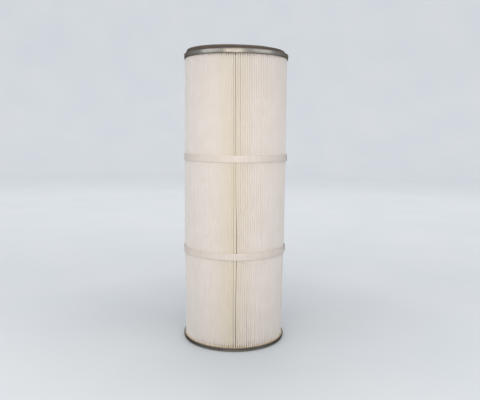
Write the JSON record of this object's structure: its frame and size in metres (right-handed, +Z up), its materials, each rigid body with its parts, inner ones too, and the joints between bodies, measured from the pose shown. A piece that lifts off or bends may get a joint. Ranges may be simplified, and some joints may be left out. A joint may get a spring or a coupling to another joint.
{
  "type": "filter cartridge",
  "caption": "Tall pleated filter cartridge with pressed steel end caps, a rubber ring gasket on the open top, a closed bottom, a perforated core and two bonded girth bands.",
  "frame": {"origin": "middle of the bottom end cap's bottom face, on the cartridge's axis", "axes": "+Z up along the axis to the open end; -Y towards the pleat pack's bonding seam; +X towards the bands' lap joints"},
  "size_m": [0.2276, 0.227, 0.6368],
  "materials": {
    "gasket_rubber": "matt moulded rubber, brown-black",
    "cap_steel": "satin rolled steel with fine marks round the axis",
    "core_steel": "dull zinc-plated perforated sheet",
    "media": "cream-white spunbond polyester with a fine calendered grain",
    "seam_adhesive": "cream hot melt",
    "band": "off-white strap, semi-gloss",
    "hot_melt": "cream hot melt",
    "potting": "amber cured adhesive, slightly glossy"
  },
  "bodies": {
    "root": {"top_gasket": "gasket_rubber", "top_end_cap": "cap_steel", "top_potting": "potting", "core_tube": "core_steel", "pleated_media": "media", "media_seam_bead": "seam_adhesive", "upper_band": "band", "upper_band_adhesive": "hot_melt", "lower_band": "band", "lower_band_adhesive": "hot_melt", "bottom_potting": "potting", "bottom_end_cap": "cap_steel"}
  },
  "joints": []
}
